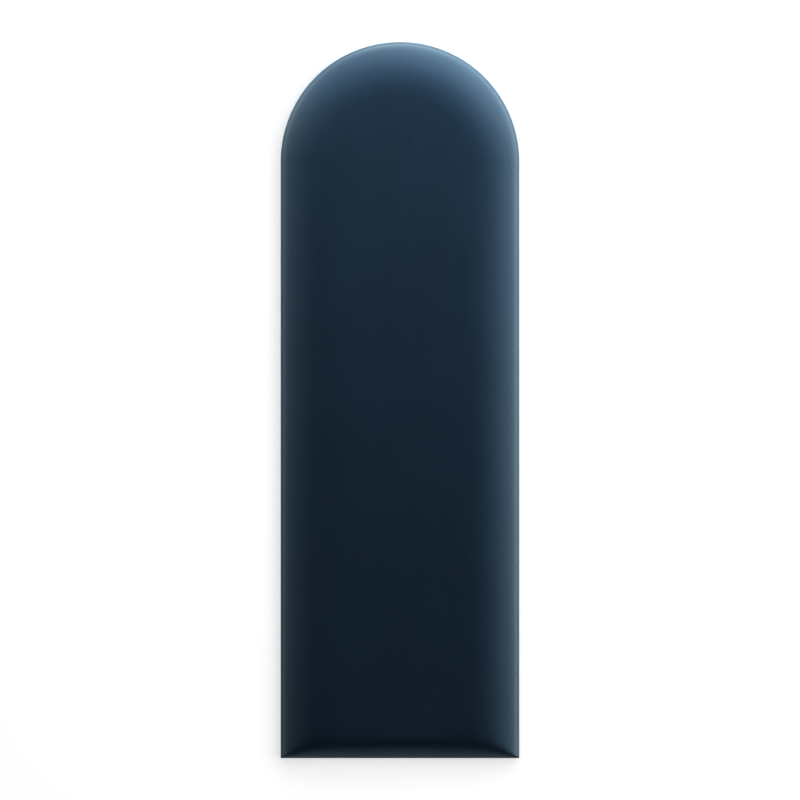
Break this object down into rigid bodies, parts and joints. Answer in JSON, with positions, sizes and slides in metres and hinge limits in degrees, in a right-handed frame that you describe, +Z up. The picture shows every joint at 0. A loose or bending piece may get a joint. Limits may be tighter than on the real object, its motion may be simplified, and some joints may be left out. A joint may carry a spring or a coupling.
{
  "type": "upholstered wall panel",
  "caption": "Tall arched wall panel padded with foam and covered in dark velvet, which lifts off interlocking hook rails screwed to the wall.",
  "frame": {"origin": "Middle of the upper wall rail's two screw holes, on the wall's surface.", "axes": "+Z up the panel, +Y into the wall, X along the wall; the panel stands out towards -Y."},
  "size_m": [0.3, 0.051, 0.8999],
  "materials": {
    "velvet": "matte",
    "wadding": "matte",
    "upholstery_foam": "matte",
    "birch_plywood": "matte",
    "extruded_aluminium": "satin",
    "zinc_plated_steel": "satin",
    "staple_wire": "satin",
    "black_rubber": "matte"
  },
  "bodies": {
    "wall_rails": {"upper_wall_rail": "extruded_aluminium", "lower_wall_rail": "extruded_aluminium"},
    "panel": {"backing_board": "birch_plywood", "foam_core": "upholstery_foam", "wadding_layer": "wadding", "velvet_cover": "velvet", "left_side_staples": "staple_wire", "right_side_staples": "staple_wire", "foot_staples": "staple_wire", "arch_staples": "staple_wire", "upper_panel_rail": "extruded_aluminium", "lower_panel_rail": "extruded_aluminium", "upper_left_rail_screw": "zinc_plated_steel", "upper_middle_rail_screw": "zinc_plated_steel", "upper_right_rail_screw": "zinc_plated_steel", "lower_left_rail_screw": "zinc_plated_steel", "lower_middle_rail_screw": "zinc_plated_steel", "lower_right_rail_screw": "zinc_plated_steel", "crown_bumper": "black_rubber", "left_bumper": "black_rubber", "right_bumper": "black_rubber"}
  },
  "joints": [
    {"name": "lift_off", "type": "slide", "parent": "wall_rails", "child": "panel", "axis": [0, 0, 1], "range_m": [0, 0.016]}
  ]
}
